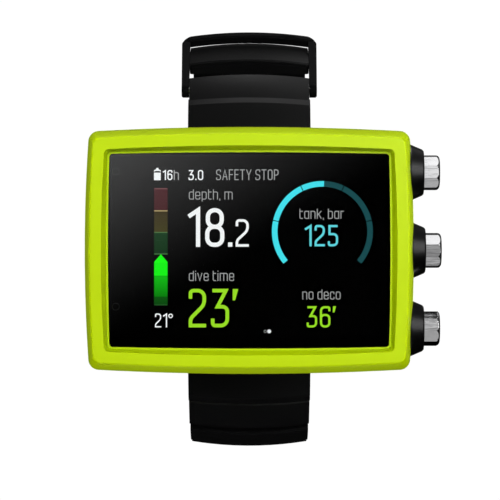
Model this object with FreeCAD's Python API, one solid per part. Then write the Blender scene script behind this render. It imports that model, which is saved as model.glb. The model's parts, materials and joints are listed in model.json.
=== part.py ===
"""Wrist dive computer: a colour-screen instrument pod in an elastomer boot, on a two-part ribbed strap.

Millimetres. +X points to the buttons, +Y from the display towards the wrist, +Z to the upper strap.
The origin is the centre of the back cover's flat face, which rests on the wrist, so the pod lies in y < 0
and the strap loop in y > 0.
"""
import FreeCAD
import Part
import math
import os

V = FreeCAD.Vector
X_AXIS = V(1, 0, 0)
Y_AXIS = V(0, 1, 0)
Z_AXIS = V(0, 0, 1)
QUARTERS = ((1, 1), (-1, 1), (-1, -1), (1, -1))

# ---- pod outline: half sizes, with the height by which each edge bows outwards ----
RIM_HALF = (38.85, 28.3)         # boot, at the front rim
WAIST_HALF = (40.25, 30.15)      # boot, where it is widest
TAIL_HALF = (39.1, 29.0)         # boot, at the back
OPENING_HALF = (35.92, 25.45)    # boot, inner edge of the rim
FOOT_HALF = (34.8, 24.33)        # boot, foot of the slope inside the rim
WINDOW_HALF = (34.35, 23.87)     # boot, edge of the narrow ledge inside the slope
CASE_HALF = (37.9, 27.5)
GLASS_HALF = (35.6, 25.2)
CAVITY_HALF = (34.0, 23.6)
COVER_HALF = (34.6, 22.6)
PLUG_HALF = (28.2, 18.4)         # the step of the back cover that enters the case
BOW = (1.05, 1.1)                # sides, ends
OPENING_BOW = (0.8, 0.95)
WINDOW_BOW = (0.35, 0.4)

# ---- pod depth ----
RIM_Y = -20.5
SLOPE_Y = -17.5
GLASS_Y = -17.2                  # front of the glass and of the case
GLASS_BACK_Y = -15.7
LEDGE_Y = -15.4                  # the glass gasket sits on this ledge
WAIST_Y = -13.0
SHALLOW_Y = -9.2                 # behind this the cavity is lower, to clear the strap recesses
SHALLOW_HALF_H = 21.4
BACK_WALL_Y = -4.6
COVER_Y = -2.8                   # case back, where the cover seats
BOOT_BACK_Y = -1.6
PLUG_DEPTH = 1.6
GAP = 0.05                       # between pieces that are fitted together

# ---- electronics ----
SCREEN_X = 3.3                   # the screen sits right of centre
ACTIVE_HALF = (27.45, 20.6)      # lit area, 2.7 inch 4:3
PANEL_HALF = (29.2, 22.3)
PANEL_Y = -15.5
MASK_Y = -15.67                  # the film is stuck to the gasket, just clear of the glass
MASK_THICK = 0.12
TRAY_Y = -13.2
BOARD_Y = -11.9
BOARD_THICK = 1.0
BOARD_TOP_Y = BOARD_Y + BOARD_THICK
BOARD_SCREWS = [(x, z) for x in (-26.5, 24.5) for z in (-18.0, 18.0)]
SENSOR_X = 20.5
SENSOR_BORE_R = 3.25
CONTACT_X = -22.5
CONTACT_ZS = (-4.5, -1.5, 1.5, 4.5)
COVER_SCREWS = [(sx * 31.6, sz * 19.0) for sx, sz in QUARTERS]
SIDE_BOARD_X = 29.4

# ---- buttons: name, height, the x of the seat on the case's side, and how far the facets are turned ----
BUTTON_PITCH = 19.1
BUTTON_Y = -10.0
SEAT_X = 37.0
BUTTONS = (("upper", BUTTON_PITCH, SEAT_X, 19.0),
           ("middle", 0.0, SEAT_X + 0.4, 20.0),
           ("lower", -BUTTON_PITCH, SEAT_X, 7.0))
COLLAR_R = 6.85
COLLAR_TIP_R = 5.7
COLLAR_RIM = 2.7                 # length of the collar's plain rim
COLLAR_LENGTH = 5.75
CUP_R = 4.5                      # hollow in the collar that the cap slides in
CUP_FLOOR = 3.4
SHANK_R = 3.7
STEM_BORE_R = 1.5
STEM_R = 1.45
CAP_R = 4.35
CAP_FACETS = 9
CAP_START = 4.5                  # from the seat; the cap travels 1.0 before it meets the cup floor
CAP_END = 9.7
CAP_ROUND = 1.1
CAP_ROOF = 2.1
STEM_TIP_X = 32.6
STEM_GROOVE = (35.4, 36.2)
STEM_GROOVE_R = 0.8
CLIP_X = (33.5, 33.9)

# ---- strap: two arcs that bend about the same y, joined by a straight back ----
STRAP_HALF_W = 15.2
ROOT_HALF_W = 15.0
PAD_HALF_W = 14.75
TIP_HALF_W = 15.05                # the tip fills the buckle
CROWN = 1.2                      # the outer face is this much lower at the strap's edges
LOOP_Y = 30.0
UPPER_Z = 17.0
LOWER_Z = -14.0
R_IN = 32.6
R_GROOVE = 35.5
R_PAD = 36.6
R_LOWER_ROOT = 36.9
R_UPPER_ROOT = 37.4
PIN_Y = -4.9
PIN_Z = 25.6
PIN_R = 1.04
PIN_TIP_R = 0.58
EYE_R = 2.5
EYE_BORE_R = 1.1
RECESS_HALF_W = 15.5
RECESS_Y = -7.7
RECESS_Z = 22.8

# angles along the strap in degrees about the arc centre, from straight ahead
SHORT_START = 14.0
RAMP_END = 35.9                  # the root pad slopes down to the next pad here
RAMP = (0.95, 2.6)               # fall and length
LOWER_RAMP = (0.6, 2.4)
SHORT_END = 48.4
STUD_ANGLE = 37.3
LOWER_START = 19.5
LOWER_ROOT_END = 42.2
PAD_SPAN = 15.6
LOWER_PADS = [LOWER_ROOT_END + (180 - LOWER_ROOT_END - PAD_SPAN) * i / 6 for i in range(7)]
LOWER_PAD_HALF_W = (15.1, 14.95) + (PAD_HALF_W,) * 5
BACK_PADS = (-11.6, 3.2)         # z at which each pad of the straight back starts
BACK_PAD_LENGTH = 12.6
UPPER_PADS = [95.5 + 21.6 * i for i in range(4)]
TIP_ANGLE = 58.0
TIP_PAD = (58.4, 91.5)
TIP_ROUND = 0.6
HOLE_ANGLES = [93.5 + 21.4 * i for i in range(4)]
HOLE_X = 6.0
HOLE_R = 1.25

# ---- buckle frame: pin and crossbar as y, z in the side view ----
PIVOT = (5.0, 40.04)
BAR = (22.5, 53.2)
LEG_INNER = 15.1
LEG_OUTER = 16.95                # at the pin
SPLAY = 0.3                      # the outer faces are this much further out at the bar
LEG_EYE_R = 1.75
BAR_HALF_LENGTH = 1.1
FRAME_HALF_THICK = 1.2
FRAME_CROWN = 1.65
FRAME_CORNER_R = 3.8
BUCKLE_PIN_R = 0.9


# ---------------------------------------------------------------- shape helpers
def box(x0, x1, y0, y1, z0, z1):
    return Part.makeBox(x1 - x0, y1 - y0, z1 - z0, V(x0, y0, z0))


def rod(radius, x0, x1, y, z):
    """A cylinder along X."""
    return Part.makeCylinder(radius, x1 - x0, V(x0, y, z), X_AXIS)


def post(radius, y0, y1, x, z):
    """A cylinder along Y."""
    return Part.makeCylinder(radius, y1 - y0, V(x, y0, z), Y_AXIS)


def rounded(half, y0, y1, radius):
    """A block with round corners in the front view."""
    block = box(-half[0], half[0], y0, y1, -half[1], half[1])
    return block.makeFillet(radius, [e for e in block.Edges if e.BoundBox.YLength > 0.5 * (y1 - y0)])


def turned(points, z):
    """A solid of revolution about a button's axis, from (x, radius) points."""
    wire = Part.makePolygon([V(x, BUTTON_Y, z + r) for x, r in points + points[:1]])
    return Part.Face(wire).revolve(V(0, BUTTON_Y, z), X_AXIS, 360)


def edges_at_y(shape, y):
    """The edges that lie wholly in the plane y."""
    return [e for e in shape.Edges
            if abs(e.BoundBox.YMin - y) < 1e-4 and abs(e.BoundBox.YMax - y) < 1e-4]


def place(shape, origin, across, along, up):
    """Stands a shape built on local X, Y, Z on the three given directions."""
    matrix = FreeCAD.Matrix(across.x, along.x, up.x, origin.x,
                            across.y, along.y, up.y, origin.y,
                            across.z, along.z, up.z, origin.z,
                            0, 0, 0, 1)
    moved = shape.copy()
    moved.Placement = FreeCAD.Placement(matrix)
    return moved


def barrel(half, y, corner, bow=BOW):
    """A closed outline in the plane y: four bowed edges joined by round corners."""
    half_w, half_h = half
    side_r = ((half_h - bow[1]) ** 2 + bow[0] ** 2) / (2 * bow[0])
    end_r = ((half_w - bow[0]) ** 2 + bow[1] ** 2) / (2 * bow[1])
    side_x, end_z = half_w - side_r, half_h - end_r
    # the corner's centre is as far inside both bows as its own radius
    p, q, d = side_r - corner, end_r - corner, math.hypot(side_x, end_z)
    along = (p * p - q * q + d * d) / (2 * d)
    off = math.sqrt(p * p - along * along)
    ux, uz = -side_x / d, end_z / d
    cx, cz = side_x + ux * along - uz * off, uz * along + ux * off
    if cx < 0 or cz < 0:
        cx, cz = side_x + ux * along + uz * off, uz * along - ux * off
    on_side = (side_x + (cx - side_x) * side_r / p, cz * side_r / p)
    on_end = (cx * end_r / q, end_z + (cz - end_z) * end_r / q)
    lean = math.atan2(on_side[1] + on_end[1] - 2 * cz, on_side[0] + on_end[0] - 2 * cx)
    mid = (cx + corner * math.cos(lean), cz + corner * math.sin(lean))

    def arc(sx, sz, *points):
        return Part.Arc(*[V(sx * px, y, sz * pz) for px, pz in points]).toShape()

    low_side, far_end = (on_side[0], -on_side[1]), (-on_end[0], on_end[1])
    return Part.Wire([arc(1, 1, low_side, (half_w, 0), on_side), arc(1, 1, on_side, mid, on_end),
                      arc(1, 1, on_end, (0, half_h), far_end), arc(-1, 1, on_end, mid, on_side),
                      arc(-1, 1, on_side, (half_w, 0), low_side), arc(-1, -1, on_side, mid, on_end),
                      arc(1, -1, far_end, (0, half_h), on_end), arc(1, -1, on_end, mid, on_side)])


def slab(half, y0, y1, corner, bow=BOW):
    """A block with a barrel outline."""
    return Part.Face(barrel(half, y0, corner, bow)).extrude(V(0, y1 - y0, 0))


def grown(half, by):
    return half[0] + by, half[1] + by


# ---------------------------------------------------------------- pod shells
def bumper_boot():
    outer = Part.makeLoft([barrel(RIM_HALF, RIM_Y, 2.0),
                           barrel(WAIST_HALF, WAIST_Y, 2.6),
                           barrel(TAIL_HALF, BOOT_BACK_Y, 2.8)], True, False)
    outer = outer.makeFillet(0.5, edges_at_y(outer, RIM_Y))
    outer = outer.makeFillet(0.8, edges_at_y(outer, BOOT_BACK_Y))
    slope = Part.makeLoft([barrel(OPENING_HALF, RIM_Y, 1.3, OPENING_BOW),
                           barrel(FOOT_HALF, SLOPE_Y, 1.1, WINDOW_BOW)], True, True)
    window = slab(WINDOW_HALF, SLOPE_Y, GLASS_Y, 0.9, WINDOW_BOW)
    hollow = slab(grown(CASE_HALF, GAP), GLASS_Y, COVER_Y, 2.4)
    back = slab(grown(CASE_HALF, -2.5), COVER_Y, BOOT_BACK_Y + 1, 2.0)
    cuts = [slope, window, hollow, back]
    cuts += [rod(COLLAR_R + 0.15, SEAT_X - 1, 45, BUTTON_Y, z) for _, z, _, _ in BUTTONS]
    for low, high in ((RECESS_Z - 1, 35), (-35, 1 - RECESS_Z)):
        cuts.append(box(-RECESS_HALF_W - 0.4, RECESS_HALF_W + 0.4, RECESS_Y - 0.5, 1, low, high))
    return outer.cut(cuts)


def case_body():
    outer = slab(CASE_HALF, GLASS_Y, COVER_Y, 2.35)
    outer = outer.makeChamfer(0.5, edges_at_y(outer, COVER_Y))
    cuts = [slab(grown(GLASS_HALF, GAP), GLASS_Y, LEDGE_Y, 1.9),
            box(-CAVITY_HALF[0], CAVITY_HALF[0], LEDGE_Y, SHALLOW_Y, -CAVITY_HALF[1], CAVITY_HALF[1]),
            box(-CAVITY_HALF[0], CAVITY_HALF[0], SHALLOW_Y, BACK_WALL_Y, -SHALLOW_HALF_H, SHALLOW_HALF_H),
            rounded(grown(PLUG_HALF, 0.1), BACK_WALL_Y, COVER_Y, 2.7)]
    for sign in (1, -1):
        low, high = sorted((sign * RECESS_Z, sign * 32))
        cuts.append(box(-RECESS_HALF_W, RECESS_HALF_W, RECESS_Y, 0, low, high))
        cuts.append(rod(PIN_TIP_R + 0.04, -RECESS_HALF_W - 1.4, RECESS_HALF_W + 1.4, PIN_Y, sign * PIN_Z))
    for _, z, seat, _ in BUTTONS:
        cuts.append(rod(SHANK_R + GAP, CAVITY_HALF[0] - 1, seat + 1, BUTTON_Y, z))
        cuts.append(rod(COLLAR_R + GAP, seat, 42, BUTTON_Y, z))
    body = outer.cut(cuts)
    body = body.fuse([post(2.0, -6.6, BACK_WALL_Y, x, z) for x, z in COVER_SCREWS]).removeSplitter()
    return body.cut([post(0.65, -6.2, COVER_Y, x, z) for x, z in COVER_SCREWS])


def back_cover():
    plate = slab(COVER_HALF, COVER_Y, 0, 3.0)
    plate = plate.makeFillet(0.8, edges_at_y(plate, 0))
    groove_y = COVER_Y - PLUG_DEPTH / 2
    groove = rounded(grown(PLUG_HALF, 1), groove_y - 0.4, groove_y + 0.4, 3.6).cut(
        rounded(grown(PLUG_HALF, -0.7), groove_y - 0.4, groove_y + 0.4, 1.9))
    cuts = [groove, post(SENSOR_BORE_R, -5, 1, SENSOR_X, 0),
            box(CONTACT_X - 2.55, CONTACT_X + 2.55, -5, 1, -7.05, 7.05)]
    for x, z in COVER_SCREWS:
        cuts.append(post(1.75, -1.4, 1, x, z))
        cuts.append(post(0.9, COVER_Y - 1, 1, x, z))
    cuts += [box(-13.0, 13.0, -0.5, 1, z - 0.5, z + 0.5) for z in (-13.5, -10.5, 10.5, 13.5)]
    return plate.fuse(rounded(PLUG_HALF, COVER_Y - PLUG_DEPTH, COVER_Y, 2.6)).cut(cuts)


def back_cover_seal():
    """An O-ring round the cover's plug."""
    y, minor, bend = COVER_Y - PLUG_DEPTH / 2, 0.38, 2.3
    half_w, half_h = grown(PLUG_HALF, -0.3)
    near = bend * (1 - math.sqrt(0.5))
    corners = []
    for sx, sz in QUARTERS:
        corner = [V(sx * half_w, y, sz * (half_h - bend)), V(sx * (half_w - near), y, sz * (half_h - near)),
                  V(sx * (half_w - bend), y, sz * half_h)]
        corners.append(corner if sx * sz > 0 else corner[::-1])
    edges = []
    for i, corner in enumerate(corners):
        edges.append(Part.Arc(*corner).toShape())
        edges.append(Part.LineSegment(corner[2], corners[(i + 1) % 4][0]).toShape())
    section = Part.Wire(Part.makeCircle(minor, corners[0][0], Z_AXIS))
    return Part.Wire(edges).makePipeShell([section], True, True)


def back_screws():
    """Hex-socket screws, sunk in the back cover."""
    screws = []
    for x, z in COVER_SCREWS:
        flats = [V(x + 0.8 * math.cos(math.radians(a)), -1.0, z + 0.8 * math.sin(math.radians(a)))
                 for a in range(0, 361, 60)]
        socket = Part.Face(Part.makePolygon(flats)).extrude(Y_AXIS)
        screws.append(post(1.6, -1.4, -0.3, x, z).fuse(post(0.65, -5.9, -1.4, x, z)).cut(socket))
    return Part.makeCompound(screws)


# ---------------------------------------------------------------- display
def front_glass():
    glass = slab(GLASS_HALF, GLASS_Y, GLASS_BACK_Y, 1.85)
    return glass.makeChamfer(0.2, edges_at_y(glass, GLASS_Y))


def lens_gasket():
    ring = slab(grown(GLASS_HALF, -0.1), GLASS_BACK_Y, LEDGE_Y, 1.8)
    return ring.cut(box(-33.9, 33.9, GLASS_BACK_Y, LEDGE_Y, -23.5, 23.5))


def mask_film():
    """Black film behind the glass, open over the lit area."""
    y0, y1 = MASK_Y, MASK_Y + MASK_THICK
    film = box(-33.7, 33.7, y0, y1, -23.3, 23.3)
    return film.cut(box(SCREEN_X - ACTIVE_HALF[0], SCREEN_X + ACTIVE_HALF[0], y0, y1,
                        -ACTIVE_HALF[1], ACTIVE_HALF[1]))


def panel(y0, y1, grow=0.0):
    half_w, half_h = grown(PANEL_HALF, grow)
    return box(SCREEN_X - half_w, SCREEN_X + half_w, y0, y1, -half_h, half_h)


def lcd_panel():
    return panel(PANEL_Y, PANEL_Y + 1.0)


def backlight_unit():
    return panel(PANEL_Y + 1.05, TRAY_Y - 0.45)


def display_frame():
    """A sheet-metal pan that holds the panel and the backlight."""
    return panel(PANEL_Y + 0.5, TRAY_Y, 0.5).cut(panel(PANEL_Y + 0.5, TRAY_Y - 0.4, 0.1))


def display_flex():
    """A ribbon that leaves the panel's left edge and folds back to its connector on the main board."""
    x, y = SCREEN_X - PANEL_HALF[0], PANEL_Y + 0.1
    runs = [box(x - 1.2, x, y, y + 0.3, -6, 6), box(x - 1.2, x - 0.9, y, -10.3, -6, 6),
            box(x - 1.2, -24.2, -10.6, -10.3, -6, 6)]
    return runs[0].fuse(runs[1:]).removeSplitter()


def light_sensors():
    """Two small round sensors behind the left edge of the glass."""
    y = MASK_Y + MASK_THICK
    return Part.makeCompound([post(0.75, y, y + 0.7, -32.5, z) for z in (19.2, -13.7)])


# ---------------------------------------------------------------- electronics
def inner_frame():
    """A tray that carries the display on its front and the main board on its back."""
    tray = box(-31, 29, TRAY_Y, BOARD_Y - 0.1, -20.5, 20.5)
    tray = tray.fuse([box(x - 0.9, x + 0.9, BOARD_Y - 0.1, BACK_WALL_Y, z - 0.9, z + 0.9)
                      for x in (-29.9, 28.0) for z in (-15.5, 15.5)])
    cuts = [box(-20, 20, -14, -12, -12, 12), box(-31, -25.5, -14, -12, -7, 7)]
    cuts += [post(0.6, -13, -11, x, z) for x, z in BOARD_SCREWS]
    return tray.removeSplitter().cut(cuts)


def main_board():
    board = box(-28.5, 26.5, BOARD_Y, BOARD_TOP_Y, -20, 20)
    return board.cut([box(-29, -26.4, -12, -10, -6.5, 6.5)]
                     + [post(0.7, -12, -10, x, z) for x, z in BOARD_SCREWS])


def board_screws():
    return Part.makeCompound([post(1.1, BOARD_TOP_Y, BOARD_TOP_Y + 0.8, x, z).fuse(
        post(0.6, -13, BOARD_TOP_Y, x, z)) for x, z in BOARD_SCREWS])


def board_shield():
    y0, y1 = BOARD_TOP_Y, BOARD_TOP_Y + 1.6
    return box(-2, 18, y0, y1, 2, 18).cut(box(-1.7, 17.7, y0, y1 - 0.3, 2.3, 17.7))


def board_parts(parts):
    """Small blocks on the main board, from (x, z, half length, half height, thickness)."""
    return Part.makeCompound([box(x - a, x + a, BOARD_TOP_Y, BOARD_TOP_Y + t, z - b, z + b)
                              for x, z, a, b, t in parts])


def board_chips():
    return board_parts(((-8, 10, 4, 4, 0.9), (-8, -2, 3, 3, 0.8), (8, 10, 3.5, 3.5, 0.8),
                        (10, -8, 2.5, 2.5, 1.0), (0, -14, 2, 2, 0.7), (-17, 14, 1.6, 2.6, 0.9)))


def board_connectors():
    return board_parts(((-22.5, 0, 1.7, 7, 1.2), (17, -15.5, 3, 1.5, 1.4), (24, 0, 1.5, 5, 1.2)))


def battery_cell():
    cell = box(-18, 15.5, -9.0, BACK_WALL_Y, -16.5, 0.5)
    return cell.makeFillet(0.9, [e for e in cell.Edges if e.BoundBox.XLength > 30])


def battery_pad():
    return box(-16, 13.5, BOARD_TOP_Y + 1.0, -9.0, -15, -1)


def piezo_beeper():
    y = COVER_Y - PLUG_DEPTH
    return post(5.5, y - 0.4, y, 0, 9).fuse(post(4.2, y - 0.7, y - 0.4, 0, 9))


def pressure_sensor():
    body = post(3.15, -6.6, -2.4, SENSOR_X, 0).cut(
        post(4, -4.1, -3.1, SENSOR_X, 0).cut(post(2.4, -4.1, -3.1, SENSOR_X, 0)))
    return body.fuse(box(SENSOR_X - 3.6, SENSOR_X + 3.6, -7.2, -6.6, -3.6, 3.6))


def sensor_oring():
    return Part.makeTorus(2.83, 0.42, V(SENSOR_X, -3.6, 0), Y_AXIS)


def sensor_grille():
    holes = [(SENSOR_X, 0)]
    holes += [(SENSOR_X + 1.7 * math.cos(math.radians(a)), 1.7 * math.sin(math.radians(a)))
              for a in range(0, 360, 60)]
    return post(SENSOR_BORE_R - GAP, -1.9, -0.15, SENSOR_X, 0).cut([post(0.45, -2, 0, x, z) for x, z in holes])


def contact_insulator():
    block = box(CONTACT_X - 2.5, CONTACT_X + 2.5, -5.4, -0.2, -7, 7)
    return block.cut([post(0.85, -5.4, 0, CONTACT_X, z) for z in CONTACT_ZS])


def charge_contacts():
    pins = [post(0.8, -6.2, -0.3, CONTACT_X, z) for z in CONTACT_ZS]
    return Part.makeCompound([p.makeFillet(0.25, edges_at_y(p, -0.3)) for p in pins])


def antenna_ferrite():
    return Part.makeCylinder(1.1, 26, V(-32.3, -6.6, -13), Z_AXIS)


def antenna_coil():
    coil = Part.makeCylinder(1.65, 14, V(-32.3, -6.6, -7), Z_AXIS)
    return coil.cut(Part.makeCylinder(1.1, 14, V(-32.3, -6.6, -7), Z_AXIS))


def button_board():
    return box(SIDE_BOARD_X, SIDE_BOARD_X + 0.8, -12.6, -7.4, -21.3, 21.3)


def tact_switches():
    x = SIDE_BOARD_X + 0.8
    return Part.makeCompound([box(x, x + 0.9, BUTTON_Y - 2, BUTTON_Y + 2, z - 2, z + 2).fuse(
        rod(1.0, x + 0.9, x + 1.3, BUTTON_Y, z)) for _, z, _, _ in BUTTONS])


def button_cable():
    """A ribbon from the side board to its connector on the main board."""
    return box(25.5, SIDE_BOARD_X, -10.3, -10.0, -4, 4)


# ---------------------------------------------------------------- buttons
def button_collar(z, seat):
    wall, tip = CAVITY_HALF[0], seat + COLLAR_LENGTH
    body = turned([(wall, STEM_BORE_R), (wall, SHANK_R), (seat, SHANK_R), (seat, COLLAR_R),
                   (seat + COLLAR_RIM, COLLAR_R), (tip - 0.35, COLLAR_TIP_R), (tip, COLLAR_TIP_R - 0.35),
                   (tip, CUP_R), (seat + CUP_FLOOR, CUP_R), (seat + CUP_FLOOR, STEM_BORE_R)], z)
    return body.cut(rod(5.75, seat, seat + 0.85, BUTTON_Y, z).cut(rod(4.65, seat, seat + 0.85, BUTTON_Y, z)))


def collar_seal(z, seat):
    return Part.makeTorus(5.2, 0.42, V(seat + 0.42, BUTTON_Y, z), X_AXIS)


def button_cap(z, seat, turn):
    """Faceted cap and its stem in one piece, with grooves for the seal and the clip."""
    start, end = seat + CAP_START, seat + CAP_END
    blank = rod(CAP_R, start, end, BUTTON_Y, z)
    blank = blank.makeFillet(CAP_ROUND, [e for e in blank.Edges if e.BoundBox.XMin > end - 1e-4])
    angles = [math.radians(turn + 360 * i / CAP_FACETS) for i in range(CAP_FACETS)]
    corners = [V(start, BUTTON_Y - CAP_R * math.cos(a), z - CAP_R * math.sin(a)) for a in angles]
    prism = Part.Face(Part.makePolygon(corners + corners[:1])).extrude(V(end - start, 0, 0))
    cap = prism.common(blank).cut(rod(3.1, start, end - CAP_ROOF, BUTTON_Y, z))
    stem = turned([(STEM_TIP_X, 0), (STEM_TIP_X, STEM_R), (CLIP_X[0], STEM_R), (CLIP_X[0], 1.0),
                   (CLIP_X[1], 1.0), (CLIP_X[1], STEM_R), (STEM_GROOVE[0], STEM_R),
                   (STEM_GROOVE[0], STEM_GROOVE_R), (STEM_GROOVE[1], STEM_GROOVE_R),
                   (STEM_GROOVE[1], STEM_R), (end - CAP_ROOF + 0.1, STEM_R), (end - CAP_ROOF + 0.1, 0)], z)
    return cap.fuse(stem)


def stem_oring(z):
    return Part.makeTorus(1.13, 0.32, V(sum(STEM_GROOVE) / 2, BUTTON_Y, z), X_AXIS)


def stem_clip(z):
    ring = rod(2.2, *CLIP_X, BUTTON_Y, z).cut(rod(1.0, *CLIP_X, BUTTON_Y, z))
    return ring.cut(box(*CLIP_X, BUTTON_Y - 0.8, BUTTON_Y + 0.8, z - 3, z))


def button_spring(z, seat):
    """A flat-wire helical spring between the cup floor and the roof of the cap."""
    half_w, half_t, coil_r, turns, slack = 0.28, 0.2, 2.3, 3, 0.1
    start = seat + CUP_FLOOR + half_t + slack
    length = CAP_END - CAP_ROOF - CUP_FLOOR - 2 * (half_t + slack)
    helix = Part.makeHelix(length / turns, length, coil_r)
    corners = [V(coil_r + x * half_w, 0, z * half_t) for x, z in QUARTERS]
    section = Part.makePolygon(corners + corners[:1])
    spring = Part.Wire(helix).makePipeShell([section], True, True)
    return place(spring, V(start, BUTTON_Y, z), Y_AXIS, Z_AXIS, X_AXIS)


# ---------------------------------------------------------------- strap
def polar(centre_z, radius, angle):
    """The y and z at an angle about a strap arc's centre."""
    a = math.radians(angle)
    return LOOP_Y - radius * math.cos(a), centre_z + radius * math.sin(a)


def inward(angle):
    """The direction from the strap to its arc's centre."""
    a = math.radians(angle)
    return V(0, math.cos(a), -math.sin(a))


def along_strap(angle):
    a = math.radians(angle)
    return V(0, math.sin(a), math.cos(a))


def strap_section(place_at, half_w, r_in, r_out):
    """A crowned section of the strap; place_at gives the y and z of a radius."""
    def at(x, radius):
        return V(x, *place_at(radius))
    corners = [at(half_w, r_out - CROWN), at(-half_w, r_out - CROWN), at(-half_w, r_in), at(half_w, r_in)]
    edges = [Part.Arc(corners[0], at(0, r_out), corners[1]).toShape()]
    edges += [Part.LineSegment(corners[i], corners[(i + 1) % 4]).toShape() for i in (1, 2, 3)]
    return Part.Face(Part.Wire(edges))


def band(centre_z, a0, a1, half_w, r_out):
    """A stretch of strap about an arc centre, from angle a0 up to angle a1."""
    face = strap_section(lambda r: polar(centre_z, r, a0), half_w, R_IN, r_out)
    return face.revolve(V(0, LOOP_Y, centre_z), V(-1, 0, 0), a1 - a0)


def crown_edges(shape):
    return [e for e in shape.Edges if e.BoundBox.XLength > 20 and not isinstance(e.Curve, Part.Line)]


def pad(centre_z, a0, a1, half_w, r_out=R_PAD):
    """A raised pad with eased ends."""
    shape = band(centre_z, a0, a1, half_w, r_out)
    return shape.makeChamfer(0.35, crown_edges(shape))


def ramped_root(centre_z, angles, r_out, ramp):
    """A root pad, which slopes down at the end that is away from the pod."""
    root = band(centre_z, *angles, STRAP_HALF_W, r_out)
    end = max(crown_edges(root), key=lambda e: abs(e.BoundBox.Center.z))
    fall, length = ramp
    return root.makeChamfer(length, fall, [end])


def strap_short():
    """The root pad and the pad at the buckle, with an eye round each pin and a pocket for the studs."""
    solid = rod(EYE_R, -STRAP_HALF_W, STRAP_HALF_W, PIN_Y, PIN_Z)
    solid = solid.fuse([ramped_root(UPPER_Z, (SHORT_START, RAMP_END), R_UPPER_ROOT, RAMP),
                        pad(UPPER_Z, RAMP_END - 1.5, SHORT_END, ROOT_HALF_W)])
    return solid.removeSplitter().cut([rod(EYE_BORE_R, -20, 20, PIN_Y, PIN_Z),
                                       rod(BUCKLE_PIN_R, -20, 20, *PIVOT), stud_plate(GAP, 0.2)])


def stud_plate(grow, below):
    """The flat plate under the short strap or, with grow and below, the pocket for it."""
    plate = Part.makeBox(18 + 2 * grow, 3.6 + 2 * grow, 0.7 + below, V(-9 - grow, -1.8 - grow, -below))
    base = V(0, *polar(UPPER_Z, R_IN + 0.03, STUD_ANGLE))
    return place(plate, base, X_AXIS, along_strap(STUD_ANGLE), -inward(STUD_ANGLE))


def strap_studs():
    """Two headed studs on one plate, pointing to the wrist, for the holes of the long strap."""
    solid = stud_plate(0, 0)
    down = inward(STUD_ANGLE)
    for x in (-HOLE_X, HOLE_X):
        base = V(x, *polar(UPPER_Z, R_IN + 0.05, STUD_ANGLE))
        solid = solid.fuse([Part.makeCylinder(1.0, 3.8, base, down),
                            Part.makeCylinder(1.45, 0.9, base + down * 3.4, down)])
    return solid.removeSplitter()


def strap_long():
    """From the lower pin round the wrist to the tip, which lies under the buckle's crossbar."""
    def back(z0, z1, r_out):
        section = strap_section(lambda r: (LOOP_Y + r, z0), PAD_HALF_W, R_IN, r_out)
        return section.extrude(V(0, 0, z1 - z0))

    solids = [rod(EYE_R, -STRAP_HALF_W, STRAP_HALF_W, PIN_Y, -PIN_Z),
              back(LOWER_Z, UPPER_Z, R_GROOVE),
              band(UPPER_Z, TIP_ANGLE, TIP_PAD[1], TIP_HALF_W - 0.05, R_GROOVE),
              band(UPPER_Z, TIP_PAD[1], 180, PAD_HALF_W, R_GROOVE),
              ramped_root(LOWER_Z, (-LOWER_ROOT_END, -LOWER_START), R_LOWER_ROOT, LOWER_RAMP),
              pad(UPPER_Z, *TIP_PAD, TIP_HALF_W)]
    solids += [pad(LOWER_Z, -a - PAD_SPAN, -a, w) for a, w in zip(LOWER_PADS, LOWER_PAD_HALF_W)]
    solids += [pad(UPPER_Z, a, a + PAD_SPAN, PAD_HALF_W) for a in UPPER_PADS]
    for z0 in BACK_PADS:
        block = back(z0, z0 + BACK_PAD_LENGTH, R_PAD)
        solids.append(block.makeChamfer(0.35, crown_edges(block)))
    strap = band(LOWER_Z, -180, -LOWER_START, PAD_HALF_W, R_GROOVE).fuse(solids).removeSplitter()
    cuts = [rod(EYE_BORE_R, -20, 20, PIN_Y, -PIN_Z)] + tip_corners()
    for angle in HOLE_ANGLES:
        for x in (-HOLE_X, HOLE_X):
            base = V(x, *polar(UPPER_Z, R_IN - 1, angle))
            cuts.append(Part.makeCylinder(HOLE_R, 6, base, -inward(angle)))
    return strap.cut(cuts)


def tip_corners():
    """What rounding the tip takes away from its right and left corners."""
    centre = TIP_HALF_W - TIP_ROUND
    corner = Part.makeBox(TIP_ROUND + 1, TIP_ROUND + 1, 9, V(centre, -1, 0)).cut(
        Part.makeCylinder(TIP_ROUND, 9, V(centre, TIP_ROUND, 0)))
    right = place(corner, V(0, *polar(UPPER_Z, R_IN - 2, TIP_ANGLE)), X_AXIS,
                  along_strap(TIP_ANGLE), -inward(TIP_ANGLE))
    return [right, right.mirror(V(0, 0, 0), X_AXIS)]


def strap_pin(sign):
    """A spring bar: a tube through the strap's eye, with a slim tip in each side of the case."""
    tube = rod(PIN_R, 0.05 - RECESS_HALF_W, RECESS_HALF_W - 0.05, PIN_Y, sign * PIN_Z)
    return tube.fuse(rod(PIN_TIP_R, -RECESS_HALF_W - 1.2, RECESS_HALF_W + 1.2, PIN_Y, sign * PIN_Z))


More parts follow.
